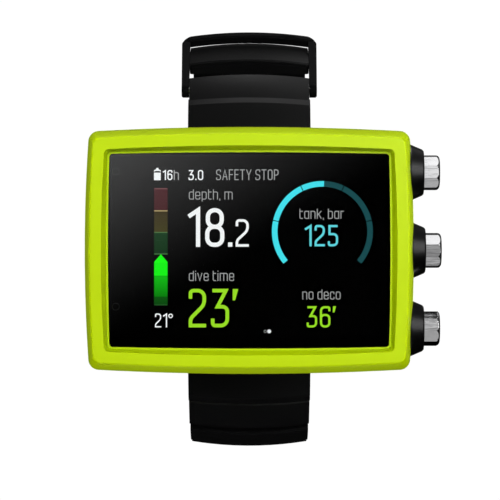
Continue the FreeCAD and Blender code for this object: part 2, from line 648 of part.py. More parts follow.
# ---------------------------------------------------------------- buckle
def buckle_frame():
    """Two legs and a crowned crossbar, built flat and then stood on the line from the pin to the bar."""
    run = math.hypot(BAR[0] - PIVOT[0], BAR[1] - PIVOT[1])
    along = V(0, (BAR[0] - PIVOT[0]) / run, (BAR[1] - PIVOT[1]) / run)
    up = V(0, -along.z, along.y)
    near, far = run - BAR_HALF_LENGTH, run + BAR_HALF_LENGTH
    half_w = LEG_OUTER + SPLAY
    low = [V(-half_w, near, -FRAME_HALF_THICK), V(half_w, near, -FRAME_HALF_THICK)]
    high = [V(-half_w, near, FRAME_HALF_THICK), V(half_w, near, FRAME_HALF_THICK)]
    rise = V(0, 0, FRAME_CROWN)
    outline = [Part.Arc(ends[0], V(0, near, ends[0].z) + rise, ends[1]).toShape() for ends in (low, high)]
    outline += [Part.LineSegment(low[i], high[i]).toShape() for i in (0, 1)]
    bar = Part.Face(Part.Wire(Part.sortEdges(outline)[0])).extrude(V(0, far - near, 0))
    bar = bar.makeFillet(0.5, crown_edges(bar))
    legs = []
    for side in (1, -1):
        corners = [V(side * x, y, -FRAME_HALF_THICK) for x, y in (
            (LEG_INNER, 0), (LEG_OUTER, 0), (half_w, far), (LEG_INNER, far), (LEG_INNER, 0))]
        leg = Part.Face(Part.makePolygon(corners)).extrude(V(0, 0, 2 * FRAME_HALF_THICK))
        x0, x1 = sorted((side * LEG_INNER, side * LEG_OUTER))
        eye = rod(LEG_EYE_R, x0, x1, 0, 0)
        outer_rim = [e for e in eye.Edges if abs(e.BoundBox.XMax - e.BoundBox.XMin) < 1e-4
                     and abs(abs(e.BoundBox.XMin) - LEG_OUTER) < 1e-4]
        legs += [leg, eye.makeFillet(0.5, outer_rim)]
    frame = bar.fuse(legs).removeSplitter()
    frame = frame.cut([frame_corner(side, half_w, far) for side in (1, -1)])
    return place(frame.cut(rod(BUCKLE_PIN_R + GAP, -20, 20, 0, 0)), V(0, *PIVOT), X_AXIS, along, up)


def frame_corner(side, half_w, far):
    """What rounding one outer corner of the frame takes away."""
    radius = FRAME_CORNER_R
    corner = Part.makeBox(radius + 1, radius + 1, 12, V(half_w - radius, far - radius, -5)).cut(
        Part.makeCylinder(radius, 12, V(half_w - radius, far - radius, -5)))
    return corner if side > 0 else corner.mirror(V(0, 0, 0), X_AXIS)


def buckle_pin():
    return rod(BUCKLE_PIN_R, 0.1 - LEG_OUTER, LEG_OUTER - 0.1, *PIVOT)


# ---------------------------------------------------------------- build
SINGLE_PARTS = (bumper_boot, case_body, back_cover, back_cover_seal, back_screws, front_glass, lens_gasket,
                mask_film, lcd_panel, backlight_unit, display_frame, display_flex, light_sensors, inner_frame,
                main_board, board_screws, board_shield, board_chips, board_connectors, battery_cell,
                battery_pad, piezo_beeper, pressure_sensor, sensor_oring, sensor_grille, contact_insulator,
                charge_contacts, antenna_ferrite, antenna_coil, button_board, tact_switches, button_cable,
                strap_short, strap_studs, strap_long, buckle_frame, buckle_pin)


def build():
    parts = {make.__name__: make() for make in SINGLE_PARTS}
    parts["strap_pin_upper"] = strap_pin(1)
    parts["strap_pin_lower"] = strap_pin(-1)
    for name, z, seat, turn in BUTTONS:
        parts["button_collar_" + name] = button_collar(z, seat)
        parts["collar_seal_" + name] = collar_seal(z, seat)
        parts["button_cap_" + name] = button_cap(z, seat, turn)
        parts["stem_oring_" + name] = stem_oring(z)
        parts["stem_clip_" + name] = stem_clip(z)
        parts["button_spring_" + name] = button_spring(z, seat)
    return parts


os.makedirs("parts", exist_ok=True)
for part_name, part_shape in build().items():
    print(part_name, "valid" if part_shape.isValid() else "INVALID", len(part_shape.Solids), "solid(s)",
          round(part_shape.Volume, 1), "mm3")
    part_shape.exportStep("parts/%s.step" % part_name)
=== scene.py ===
"""Looks of a wrist dive computer on its CAD frame: materials, the lit display and a white studio.

Metres in the CAD frame: +X to the buttons, +Y from the display to the wrist, +Z to the upper strap. The
display is laid out in millimetres from the middle of its lit area.
"""
import json
import math

import bpy
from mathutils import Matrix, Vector


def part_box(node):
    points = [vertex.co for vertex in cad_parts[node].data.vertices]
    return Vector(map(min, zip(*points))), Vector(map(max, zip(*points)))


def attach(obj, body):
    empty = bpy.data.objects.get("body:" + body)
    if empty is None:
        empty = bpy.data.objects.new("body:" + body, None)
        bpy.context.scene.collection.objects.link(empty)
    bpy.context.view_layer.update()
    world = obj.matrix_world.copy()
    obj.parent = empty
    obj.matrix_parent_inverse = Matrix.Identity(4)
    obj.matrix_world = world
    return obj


MM = 0.001

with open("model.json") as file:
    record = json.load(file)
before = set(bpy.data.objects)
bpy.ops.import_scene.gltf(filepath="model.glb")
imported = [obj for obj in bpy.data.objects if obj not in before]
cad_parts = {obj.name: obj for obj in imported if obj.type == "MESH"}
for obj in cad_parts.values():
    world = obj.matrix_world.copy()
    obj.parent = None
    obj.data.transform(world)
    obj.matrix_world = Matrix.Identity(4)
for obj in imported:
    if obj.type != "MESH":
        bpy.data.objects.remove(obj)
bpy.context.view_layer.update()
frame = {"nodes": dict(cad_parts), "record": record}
nodes = frame["nodes"]


def srgb(red, green, blue):
    """A linear colour from screen values of 0 to 255."""
    values = [v / 255 for v in (red, green, blue)]
    return tuple(v / 12.92 if v <= 0.04045 else ((v + 0.055) / 1.055) ** 2.4 for v in values) + (1.0,)


# ---------------------------------------------------------------- camera
CAMERA_DISTANCE = 0.7            # from the front rim
VIEW_WIDTH = 0.121               # seen at the front rim
VIEW_MIDDLE = (0.00019, 0.0001)  # x and z that the camera faces
SENSOR = 36.0                    # width in millimetres
rim_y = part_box("bumper_boot")[0].y

camera_data = bpy.data.cameras.new("camera")
camera_data.sensor_width = SENSOR
camera_data.lens = SENSOR * CAMERA_DISTANCE / VIEW_WIDTH
camera_data.clip_start = 0.05
camera = bpy.data.objects.new("camera", camera_data)
camera.location = (VIEW_MIDDLE[0], rim_y - CAMERA_DISTANCE, VIEW_MIDDLE[1])
camera.rotation_euler = (math.radians(90), 0, 0)
bpy.context.scene.collection.objects.link(camera)
bpy.context.scene.camera = camera
bpy.context.scene.view_settings.view_transform = "Standard"


# ---------------------------------------------------------------- material helpers
def add_node(tree, kind, inputs=None, **settings):
    """A shader node; each input is a value or another node's output."""
    made = tree.nodes.new("ShaderNode" + kind)
    for key, value in settings.items():
        setattr(made, key, value)
    for socket, value in (inputs or {}).items():
        if isinstance(value, bpy.types.NodeSocket):
            tree.links.new(value, made.inputs[socket])
        else:
            made.inputs[socket].default_value = value
    return made


def shader_of(material):
    return material.node_tree.nodes["Principled BSDF"]


def blank(name, **inputs):
    """A new material with its node tree and its Principled shader."""
    material = bpy.data.materials.new(name)
    material.use_nodes = True
    shader = shader_of(material)
    for socket, value in inputs.items():
        shader.inputs[socket.replace("_", " ")].default_value = value
    return material, material.node_tree, shader


def own_place(tree):
    """A point's place in its piece's own coordinates, in metres."""
    return add_node(tree, "TexCoord").outputs["Object"]


def noise(tree, scale, detail=3.0, stretch=(1, 1, 1)):
    """Noise in the piece's own coordinates; scale is in features per metre."""
    spread = add_node(tree, "Mapping", {"Vector": own_place(tree), "Scale": stretch}).outputs[0]
    return add_node(tree, "TexNoise", {"Vector": spread, "Scale": scale, "Detail": detail}).outputs["Fac"]


def ranged(tree, value, low, high, from_low=0.3, from_high=0.7):
    """Low to high, as value goes from from_low to from_high, which by default is where most noise lies."""
    return add_node(tree, "MapRange", {"Value": value, "From Min": from_low, "From Max": from_high,
                                       "To Min": low, "To Max": high}).outputs[0]


def ramped(tree, value, stops, low, high):
    """The colour at a value between low and high, from stops that pair a value with a colour."""
    ramp = add_node(tree, "ValToRGB", {"Fac": ranged(tree, value, 0, 1, low, high)})
    elements = ramp.color_ramp.elements
    while len(elements) < len(stops):
        elements.new(1.0)
    for element, (place, colour) in zip(elements, stops):
        element.position = (place - low) / (high - low)
        element.color = colour
    return ramp.outputs["Color"]


def mottled(tree, colour, amount, value):
    """The colour, darker and lighter by the given share as value goes from low to high."""
    dark = [c * (1 - amount) for c in colour[:3]] + [1]
    light = [min(1, c * (1 + amount)) for c in colour[:3]] + [1]
    share = ranged(tree, value, 0, 1)
    return add_node(tree, "Mix", {0: share, 6: dark, 7: light}, data_type="RGBA").outputs[2]


def surface(name, colour, rough, mottle=(40, 0.08), grain=(2500, 8e-6), spread=0.06, stretch=(1, 1, 1),
            **inputs):
    """A material with uneven colour, uneven roughness and a fine bump.

    mottle is its scale and strength, grain its scale and its height in metres. spread is how far the
    roughness goes each way, and stretch draws the grain out.
    """
    material, tree, shader = blank(name, **inputs)
    broad = noise(tree, mottle[0])
    fine = noise(tree, grain[0], 4.0, stretch)
    bump = add_node(tree, "Bump", {"Height": fine, "Strength": 1.0, "Distance": grain[1]})
    both = add_node(tree, "Math", {0: broad, 1: fine}, operation="ADD").outputs[0]
    tree.links.new(mottled(tree, colour, mottle[1], broad), shader.inputs["Base Color"])
    tree.links.new(ranged(tree, both, rough - spread, rough + spread, 0.7, 1.3), shader.inputs["Roughness"])
    tree.links.new(bump.outputs[0], shader.inputs["Normal"])
    return material


def metal(name, colour, rough, **settings):
    return surface(name, colour, rough, Metallic=1.0, **settings)


# ---------------------------------------------------------------- materials, by the record's slots
BLACK = (0.02, 0.02, 0.021)


def glass_material():
    """Clear mineral glass with a faint, uneven film of handling on it."""
    material, tree, shader = blank("glass", Base_Color=(0.97, 0.985, 0.99, 1), Transmission_Weight=1.0,
                                   IOR=1.5)
    tree.links.new(ranged(tree, noise(tree, 90), 0.0, 0.03), shader.inputs["Roughness"])
    return material


def board_material():
    """Green solder resist with a pattern of tracks under it."""
    material, tree, shader = blank("board", Roughness=0.35)
    turned = add_node(tree, "Mapping", {"Vector": own_place(tree),
                                        "Rotation": (math.radians(90), 0, 0)}).outputs[0]
    tracks = add_node(tree, "TexBrick", {
        "Vector": turned, "Scale": 400.0, "Mortar Size": 0.06, "Mortar Smooth": 0.3,
        "Brick Width": 1.7, "Row Height": 0.5, "Color1": (0.012, 0.1, 0.045, 1),
        "Color2": (0.014, 0.115, 0.05, 1), "Mortar": (0.03, 0.19, 0.08, 1)})
    bump = add_node(tree, "Bump", {"Height": tracks.outputs["Fac"], "Distance": 2e-5})
    tree.links.new(tracks.outputs["Color"], shader.inputs["Base Color"])
    tree.links.new(bump.outputs[0], shader.inputs["Normal"])
    return material


def striped(name, colour, dark, pitch, direction, rough, metallic=0.0):
    """Fine parallel lines: the conductors of a ribbon or the turns of a coil."""
    material, tree, shader = blank(name, Roughness=rough, Metallic=metallic)
    wave = add_node(tree, "TexWave", {"Vector": own_place(tree), "Scale": math.pi / pitch / 10},
                    bands_direction=direction).outputs["Fac"]
    bump = add_node(tree, "Bump", {"Height": wave, "Distance": 0.2 * pitch})
    tint = add_node(tree, "Mix", {0: wave, 6: dark + (1,), 7: colour + (1,)}, data_type="RGBA").outputs[2]
    tree.links.new(tint, shader.inputs["Base Color"])
    tree.links.new(bump.outputs[0], shader.inputs["Normal"])
    return material


MATERIALS = {
    "bumper": surface("bumper", (0.6, 0.83, 0.0005), 0.36, mottle=(45, 0.02), grain=(3200, 5e-6),
                      Specular_IOR_Level=0.14),
    "case_plastic": surface("case_plastic", (0.022, 0.022, 0.024), 0.5, grain=(2600, 1.2e-5)),
    "collar_plastic": surface("collar_plastic", (0.001, 0.001, 0.0011), 0.32, grain=(3000, 6e-6),
                              IOR=1.65),
    "glass": glass_material(),
    "mask": surface("mask", (0.0015, 0.0015, 0.0018), 0.5, grain=(1500, 1e-6), Specular_IOR_Level=0.0),
    "lcd": surface("lcd", (0.002, 0.002, 0.0023), 0.5, grain=(1500, 1e-6), Specular_IOR_Level=0.01),
    "backlight": surface("backlight", (0.8, 0.8, 0.78), 0.3),
    "sheet_steel": metal("sheet_steel", (0.55, 0.55, 0.56), 0.32, stretch=(1, 1, 14), grain=(1200, 3e-6)),
    "steel": metal("steel", (0.58, 0.58, 0.57), 0.27, grain=(2500, 3e-6)),
    "chrome": metal("chrome", (0.9, 0.9, 0.91), 0.07, mottle=(120, 0.02), grain=(650, 7e-5), spread=0.03,
                    stretch=(0.12, 1, 1)),
    "brass": metal("brass", (0.83, 0.62, 0.27), 0.25, grain=(2500, 2e-6)),
    "gasket": surface("gasket", BLACK, 0.6),
    "seal": surface("seal", BLACK, 0.45),
    "foam": surface("foam", (0.12, 0.12, 0.12), 0.9, grain=(2200, 8e-5)),
    "board": board_material(),
    "chip": surface("chip", (0.025, 0.025, 0.027), 0.55, grain=(4000, 8e-6)),
    "connector": surface("connector", (0.72, 0.69, 0.6), 0.45),
    "flex": striped("flex", (0.55, 0.28, 0.07), (0.35, 0.16, 0.03), 0.0005, "Z", 0.3),
    "frame_plastic": surface("frame_plastic", (0.09, 0.09, 0.09), 0.6, grain=(1800, 1.5e-5)),
    "battery": surface("battery", (0.5, 0.52, 0.55), 0.33, mottle=(60, 0.05), grain=(250, 8e-5),
                       Metallic=0.85),
    "ferrite": surface("ferrite", (0.05, 0.05, 0.055), 0.7, grain=(3000, 2e-5)),
    "copper": striped("copper", (0.72, 0.33, 0.16), (0.3, 0.1, 0.04), 0.0003, "Z", 0.3, 1.0),
    "strap": surface("strap", (0.0036, 0.0036, 0.0038), 0.4, mottle=(30, 0.12), grain=(2600, 1.2e-5),
                     Specular_IOR_Level=0.18),
    "buckle": surface("buckle", (0.003, 0.003, 0.0032), 0.42, grain=(2400, 8e-6),
                      Specular_IOR_Level=0.025),
}


def paint_corner_shade(material, reach, amount):
    """Paints shade into a material's colour: darkens it by up to amount where another surface stands within
    reach of it.
    """
    tree = material.node_tree
    colour = shader_of(material).inputs["Base Color"]
    plain = colour.links[0].from_socket
    openness = add_node(tree, "AmbientOcclusion", {"Distance": reach}).outputs["AO"]
    share = ranged(tree, openness, 1 - amount, 1, 0.0, 1.0)
    tree.links.new(add_node(tree, "VectorMath", {0: plain, 3: share}, operation="SCALE").outputs[0], colour)


# painted shade: the bumper's colour is darkened where other surfaces stand close, as on the slopes round the
# glass
paint_corner_shade(MATERIALS["bumper"], 3 * MM, 0.5)

for part in frame["record"]["subparts"]:
    for material_slot in nodes[part["node"]].material_slots:
        material_slot.material = MATERIALS[part["material_slot"]]


# ---------------------------------------------------------------- soft edges on the CAD pieces
SOFT_EDGES = {"button_cap_upper": 0.34, "button_cap_middle": 0.34, "button_cap_lower": 0.34,
              "buckle_frame": 0.35, "bumper_boot": 0.12}     # bevel width in millimetres
SHARP_ANGLE = 35                 # degrees between two faces, from which their edge is softened


def soften(node, width):
    """Rounds a CAD piece's sharp edges a little, as moulding or polishing leaves them."""
    piece = nodes[node]
    weld = piece.modifiers.new("weld", "WELD")
    weld.merge_threshold = 0.001 * MM
    bevel = piece.modifiers.new("bevel", "BEVEL")
    bevel.width = width
    bevel.segments = 3
    bevel.limit_method = "ANGLE"
    bevel.angle_limit = math.radians(SHARP_ANGLE)
    bevel.use_clamp_overlap = True
    bevel.harden_normals = True


for soft_node, soft_width in SOFT_EDGES.items():
    soften(soft_node, soft_width * MM)


# ---------------------------------------------------------------- the display's lettering
CORNER = 0.17                    # radius at the middle of a stroke, in capital heights
SMALL_CORNER = 0.14              # the same, in small letters
X_HEIGHT = 0.77                  # of the small letters, in capital heights
LETTER_GAP = 0.13                # in capital heights
ARC_STEPS = 6                    # in one rounded corner
ARC_DEGREES = 3                  # in one step of a circle
CORNER_SHARE = 0.49              # most that a rounded corner takes of the run on each side of it
MITRE_LIMIT = 0.45               # keeps the point of a sharp corner short


def ring(low, high, corner=CORNER, left=0.0, right=1.0):
    """A closed stroke with four round corners."""
    return True, [(left, low, corner), (right, low, corner), (right, high, corner), (left, high, corner)]


def line(*points):
    """An open stroke, whose points may have a corner radius."""
    return False, [(p + (0,))[:3] for p in points]


BOWL_LEFT = (True, [(0, 0, 0), (1, 0, SMALL_CORNER), (1, X_HEIGHT, SMALL_CORNER), (0, X_HEIGHT, 0)])
BOWL_RIGHT = (True, [(0, 0, SMALL_CORNER), (1, 0, 0), (1, X_HEIGHT, 0), (0, X_HEIGHT, SMALL_CORNER)])
ARCH = line((0, 0), (0, X_HEIGHT), (1, X_HEIGHT, SMALL_CORNER), (1, 0))
STEM = line((0, 1), (0, 0))

# each glyph: its width in capital heights, and its strokes in a unit square
GLYPHS = {
    " ": (0.12, []),
    "0": (0.49, [ring(0, 1)]),
    "1": (0.31, [line((0, 0.85), (1, 1), (1, 0))]),
    "2": (0.47, [line((0, 0.82), (0, 1, CORNER), (1, 1, CORNER), (1, 0.6, 0.3), (0, 0.2, 0.2), (0, 0),
                      (1, 0))]),
    "3": (0.49, [line((0.1, 1), (0.9, 1), (0.33, 0.54), (1, 0.54, CORNER), (1, 0, CORNER), (0, 0, CORNER),
                      (0, 0.15))]),
    "5": (0.47, [line((0.93, 1), (0.08, 1), (0.08, 0.58), (1, 0.58, CORNER), (1, 0, CORNER), (0, 0, CORNER),
                      (0, 0.15))]),
    "6": (0.49, [ring(0, 0.6), line((0, 0.4), (0, 1, CORNER), (1, 1, CORNER), (1, 0.85))]),
    "8": (0.5, [ring(0, 0.52), ring(0.52, 1, CORNER, 0.04, 0.96)]),
    ".": (0, [line((0, 0.02), (0, 0))]),
    ",": (0, [line((0, 0.02), (0, -0.12))]),
    "A": (0.5, [line((0, 0), (0.5, 1), (1, 0)), line((0.22, 0.3), (0.78, 0.3))]),
    "E": (0.4, [line((1, 1), (0, 1), (0, 0), (1, 0)), line((0, 0.52), (0.9, 0.52))]),
    "F": (0.4, [line((1, 1), (0, 1), (0, 0)), line((0, 0.52), (0.9, 0.52))]),
    "O": (0.46, [ring(0, 1)]),
    "P": (0.44, [line((0, 0), (0, 1), (1, 1, CORNER), (1, 0.46, CORNER), (0, 0.46))]),
    "S": (0.46, [line((1, 0.82), (1, 1, CORNER), (0, 1, CORNER), (0, 0.56, CORNER), (1, 0.44, CORNER),
                      (1, 0, CORNER), (0, 0, CORNER), (0, 0.18))]),
    "T": (0.46, [line((0, 1), (1, 1)), line((0.5, 1), (0.5, 0))]),
    "Y": (0.5, [line((0, 1), (0.5, 0.45), (1, 1)), line((0.5, 0.45), (0.5, 0))]),
    "a": (0.44, [BOWL_RIGHT]),
    "b": (0.44, [STEM, BOWL_LEFT]),
    "c": (0.4, [line((1, 0.58), (1, X_HEIGHT, SMALL_CORNER), (0, X_HEIGHT, SMALL_CORNER),
                     (0, 0, SMALL_CORNER), (1, 0, SMALL_CORNER), (1, 0.19))]),
    "d": (0.44, [line((1, 1), (1, 0)), BOWL_RIGHT]),
    "e": (0.44, [line((1, 0.16), (1, 0, SMALL_CORNER), (0, 0, SMALL_CORNER), (0, X_HEIGHT, SMALL_CORNER),
                      (1, X_HEIGHT, SMALL_CORNER), (1, 0.38), (0, 0.38))]),
    "h": (0.44, [STEM, line((0, X_HEIGHT), (1, X_HEIGHT, SMALL_CORNER), (1, 0))]),
    "i": (0, [line((0, X_HEIGHT), (0, 0)), line((0, 1.02), (0, 1.0))]),
    "k": (0.42, [STEM, line((1, X_HEIGHT), (0.12, 0.36)), line((0.32, 0.5), (1, 0))]),
    "m": (0.72, [ARCH, line((0.5, X_HEIGHT), (0.5, 0))]),
    "n": (0.44, [ARCH]),
    "o": (0.44, [ring(0, X_HEIGHT, SMALL_CORNER)]),
    "p": (0.44, [line((0, X_HEIGHT), (0, -0.22)), BOWL_LEFT]),
    "r": (0.3, [line((0, 0), (0, X_HEIGHT), (1, X_HEIGHT))]),
    "t": (0.3, [line((0, 1), (0, 0, SMALL_CORNER), (1, 0)), line((0, X_HEIGHT), (1, X_HEIGHT))]),
    "v": (0.44, [line((0, X_HEIGHT), (0.5, 0), (1, X_HEIGHT))]),
}


def smooth_path(points, closed):
    """The path's points, with an arc in place of each corner that has a radius."""
    path = []
    for i, (x, z, radius) in enumerate(points):
        here = Vector((x, z))
        if radius == 0 or (not closed and i in (0, len(points) - 1)):
            path.append(here)
            continue
        back, on = (Vector(points[j % len(points)][:2]) - here for j in (i - 1, i + 1))
        half = back.angle(on) / 2
        reach = min(radius / math.tan(half), CORNER_SHARE * back.length, CORNER_SHARE * on.length)
        back, on = back.normalized(), on.normalized()
        centre = here + (back + on).normalized() * reach / math.cos(half)
        start, end = here + back * reach - centre, here + on * reach - centre
        path += [centre + start.slerp(end, step / ARC_STEPS) * start.length for step in range(ARC_STEPS + 1)]
    return path


def stroke(path, weight, closed):
    """Two rows of points, one on each side of a stroke of the given weight, with square ends."""
    last = len(path) - 1
    left, right = [], []
    for i, here in enumerate(path):
        back = here - path[i - 1] if closed or i > 0 else path[1] - here
        on = path[(i + 1) % len(path)] - here if closed or i < last else back
        back, on = back.normalized(), on.normalized()
        along = (back + on).normalized()
        side = Vector((-along.y, along.x))
        reach = 0.5 * weight / max(along.dot(on), MITRE_LIMIT)
        end = 0 if closed or 0 < i < last else 0.5 * weight * (1 if i else -1)
        left.append(here + along * end + side * reach)
        right.append(here + along * end - side * reach)
    if closed:
        left.append(left[0])
        right.append(right[0])
    return left, right


def text_strokes(text, left, base, width, height, weight):
    """The strokes of a line of text, with its letters and gaps scaled until it is as wide as asked."""
    def glyph_width(char, scale):
        return max(GLYPHS[char][0] * height * scale, weight)

    scale = 1.0
    for _ in range(4):
        gaps = LETTER_GAP * height * scale * (len(text) - 1)
        scale *= width / (gaps + sum(glyph_width(c, scale) for c in text))
    strokes = []
    for char in text:
        span = glyph_width(char, scale)
        for closed, points in GLYPHS[char][1]:
            placed = [(left + 0.5 * weight + x * (span - weight), base + 0.5 * weight + z * (height - weight),
                       corner * height) for x, z, corner in points]
            strokes.append((smooth_path(placed, closed), weight, closed))
        left += span + LETTER_GAP * height * scale
    return strokes


def arc_stroke(centre, radius, start, end, weight):
    """Part of a circle, in degrees clockwise from the top."""
    steps = max(2, round(abs(end - start) / ARC_DEGREES))
    turns = [math.radians(start + (end - start) * i / steps) for i in range(steps + 1)]
    path = [Vector((centre[0] + radius * math.sin(a), centre[1] + radius * math.cos(a))) for a in turns]
    closed = end - start >= 360
    return (path[:-1] if closed else path), weight, closed


# ---------------------------------------------------------------- the display's pieces
screen_low, screen_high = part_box("lcd_panel")
SCREEN_X = 0.5 * (screen_low.x + screen_high.x)
LIT_Y = screen_low.y - 0.03 * MM                      # just in front of the panel
PRINT_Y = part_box("front_glass")[1].y + 0.012 * MM     # just behind the glass
THROUGH_GLASS = 1.02             # makes up for what the glass reflects


def lit(name, colour=(0, 0, 0, 1)):
    """Dull black with a light of its own."""
    return blank(name, Base_Color=(0.001, 0.001, 0.001, 1), Roughness=0.5, Specular_IOR_Level=0.0,
                 Emission_Color=colour, Emission_Strength=THROUGH_GLASS)[0]


def show(name, outlines, material, y=LIT_Y):
    """A flat piece on the display made of closed outlines in millimetres."""
    points, faces = [], []
    for outline in outlines:
        faces.append(range(len(points), len(points) + len(outline)))
        points += [(SCREEN_X + x * MM, y, z * MM) for x, z in outline]
    mesh = bpy.data.meshes.new(name)
    mesh.from_pydata(points, [], faces)
    mesh.materials.append(material)
    piece = bpy.data.objects.new(name, mesh)
    bpy.context.scene.collection.objects.link(piece)
    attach(piece, "case")


def show_strokes(name, strokes, material, **settings):
    """A flat piece made of strokes, each a path with its weight and whether it is closed."""
    quads = []
    for path, weight, closed in strokes:
        left, right = stroke(path, weight, closed)
        quads += [(left[i], right[i], right[i + 1], left[i + 1]) for i in range(len(left) - 1)]
    show(name, quads, material, **settings)


def write(name, text, left, base, width, height, weight, material):
    """A line of text from its left end and base line, as wide, high and heavy as given."""
    show_strokes(name, text_strokes(text, left, base, width, height, weight), material)


def rectangle(x0, x1, z0, z1):
    return [(x0, z0), (x1, z0), (x1, z1), (x0, z1)]


WHITE = lit("lit_white", srgb(250, 252, 252))
GREY = lit("lit_grey", srgb(166, 167, 167))
LIME = lit("lit_lime", srgb(156, 224, 40))
CYAN = lit("lit_cyan", srgb(70, 228, 240))
PALE_CYAN = lit("lit_pale_cyan", srgb(98, 216, 224))
TEAL = lit("lit_teal", srgb(27, 76, 80))
GREEN = lit("lit_green", srgb(24, 255, 22))

LABEL = 2.45                     # capital height of the small labels
THIN = 0.2                       # and their weight

write("text_hours", "16", -24.35, 17.13, 2.35, 2.45, 0.3, WHITE)
write("text_hours_unit", "h", -21.68, 17.13, 1.25, 2.45, 0.25, GREY)
write("text_stop_depth", "3.0", -18.1, 17.13, 3.6, 2.45, 0.3, WHITE)
write("text_stop", "SAFETY STOP", -11.36, 17.13, 15.2, 2.6, 0.22, GREY)
write("label_depth", "depth, m", -18.0, 12.4, 10.65, LABEL, THIN, GREY)
write("value_depth", "18", -18.15, 0.86, 8.8, 9.45, 1.02, WHITE)
show("value_depth_point", [rectangle(-8.45, -7.4, 0.9, 1.95)], WHITE)
write("value_depth_tenths", "2", -6.6, 0.9, 3.2, 6.7, 0.62, WHITE)
write("label_time", "dive time", -18.0, -7.43, 11.0, LABEL, THIN, GREY)
write("value_time", "23", -18.05, -18.75, 9.85, 9.4, 0.88, LIME)
write("value_temperature", "21", -26.25, -18.75, 2.95, 3.4, 0.3, WHITE)
write("label_tank", "tank, bar", 8.95, 7.7, 10.8, LABEL, THIN, GREY)
write("value_tank", "125", 10.25, 1.0, 8.1, 5.2, 0.54, PALE_CYAN)
write("label_deco", "no deco", 9.65, -11.95, 9.3, LABEL, THIN, GREY)
write("value_deco", "36", 10.68, -18.78, 5.8, 5.2, 0.52, LIME)
show("value_time_prime", [[(-7.35, -12.15), (-6.73, -12.15), (-5.95, -9.4), (-7.31, -9.4)]], LIME)
show("value_deco_prime", [[(17.05, -15.1), (17.45, -15.1), (17.85, -13.6), (17.1, -13.6)]], LIME)
show_strokes("value_temperature_degree", [arc_stroke((-22.45, -15.95), 0.43, 0, 360, 0.24)], WHITE)
show_strokes("page_dots", [arc_stroke((0.62, -19.72), 0.3, 0, 360, 0.13)], GREY)
show_strokes("page_dot_here", [arc_stroke((1.57, -19.72), 0.24, 0, 360, 0.46)], WHITE)

# battery symbol: a body with rounded shoulders and a band of charge
show("battery_symbol", [rectangle(-26.5, -24.85, 17.1, 18.95),
                        [(-26.5, 19.1), (-26.2, 19.35), (-25.15, 19.35), (-24.85, 19.1), (-24.85, 19.5),
                         (-25.3, 19.75), (-26.05, 19.75), (-26.5, 19.5)],
                        rectangle(-25.95, -25.4, 19.75, 20.1)], WHITE)

# tank gauge: an arc in five equal fields, lit from its left end to a little past its middle
GAUGE = Vector((14.52, 4.6))
GAUGE_R = 11.62
GAUGE_WEIGHT = 1.36
GAUGE_GAP = 1.0                  # degrees
FIELD = 51.8                     # degrees
READING = 2.0                    # degrees past the middle
LIT_FIELDS = [(-2.5 * FIELD, -1.5 * FIELD), (-1.5 * FIELD + GAUGE_GAP, -0.5 * FIELD),
              (-0.5 * FIELD + GAUGE_GAP, READING)]
DIM_FIELDS = [(READING, 0.5 * FIELD - GAUGE_GAP), (0.5 * FIELD, 1.5 * FIELD - GAUGE_GAP),
              (1.5 * FIELD, 2.5 * FIELD)]


def show_gauge(name, fields, material):
    """Part of the gauge, with ends that point to its centre."""
    half_share = 0.5 * GAUGE_WEIGHT / GAUGE_R
    quads = []
    for start, end in fields:
        path, _, _ = arc_stroke(GAUGE, GAUGE_R, start, end, GAUGE_WEIGHT)
        out = [GAUGE + (p - GAUGE) * (1 + half_share) for p in path]
        into = [GAUGE + (p - GAUGE) * (1 - half_share) for p in path]
        quads += [(out[i], into[i], into[i + 1], out[i + 1]) for i in range(len(path) - 1)]
    show(name, quads, material)


show_gauge("gauge_lit", LIT_FIELDS, CYAN)
show_gauge("gauge_dim", DIM_FIELDS, TEAL)

# ascent-rate column: its two sides, foot, head and the arrow in it
COLUMN = (-26.45, -23.2)
COLUMN_FOOT = -13.35
COLUMN_HEAD = 15.15
ARROW = (-3.0, -2.8, -0.95)      # foot, shoulders and point
EDGE = 0.2                       # height of the line at the foot of each field
BLUR = 0.05                      # height over which one field turns into the next field's line
# fields from the foot up: where each starts, and the colours of its line, its foot and its head
FIELDS = (
    (COLUMN_FOOT, (52, 112, 56), (14, 72, 18), (14, 86, 18)),
    (-11.4, (10, 58, 14), (12, 128, 16), (18, 190, 22)),
    (-6.3, (8, 104, 12), (22, 246, 24), (22, 246, 24)),
    (-0.9, (90, 128, 88), (16, 52, 24), (18, 60, 28)),
    (4.35, (86, 132, 78), (66, 62, 26), (56, 46, 18)),
    (9.6, (236, 214, 146), (68, 26, 30), (72, 24, 30)),
)
LAST_LINE = (14.95, (124, 78, 82))


def column_stops():
    """The column's heights and colours: for each field, its line and then its shade from foot to head."""
    stops = []
    ends = [field[0] for field in FIELDS[1:]] + [LAST_LINE[0]]
    for (start, edge, foot, head), end in zip(FIELDS, ends):
        stops += [(start, edge), (start + EDGE, foot), (end - BLUR, head)]
    return [(z * MM, srgb(*colour)) for z, colour in stops + [LAST_LINE]]


def column_material():
    """A light whose colour changes with height."""
    material = lit("lit_column")
    tree = material.node_tree
    height = add_node(tree, "SeparateXYZ", {0: own_place(tree)}).outputs["Z"]
    colour = ramped(tree, height, column_stops(), COLUMN_FOOT * MM, COLUMN_HEAD * MM)
    tree.links.new(colour, shader_of(material).inputs["Emission Color"])
    return material


show("ascent_column", [rectangle(*COLUMN, COLUMN_FOOT, ARROW[0]), rectangle(*COLUMN, ARROW[2], COLUMN_HEAD)],
     column_material())
show("ascent_arrow", [[(COLUMN[0], ARROW[0]), (COLUMN[1], ARROW[0]), (COLUMN[1], ARROW[1]),
                       (0.5 * sum(COLUMN), ARROW[2]), (COLUMN[0], ARROW[1])]], GREEN)

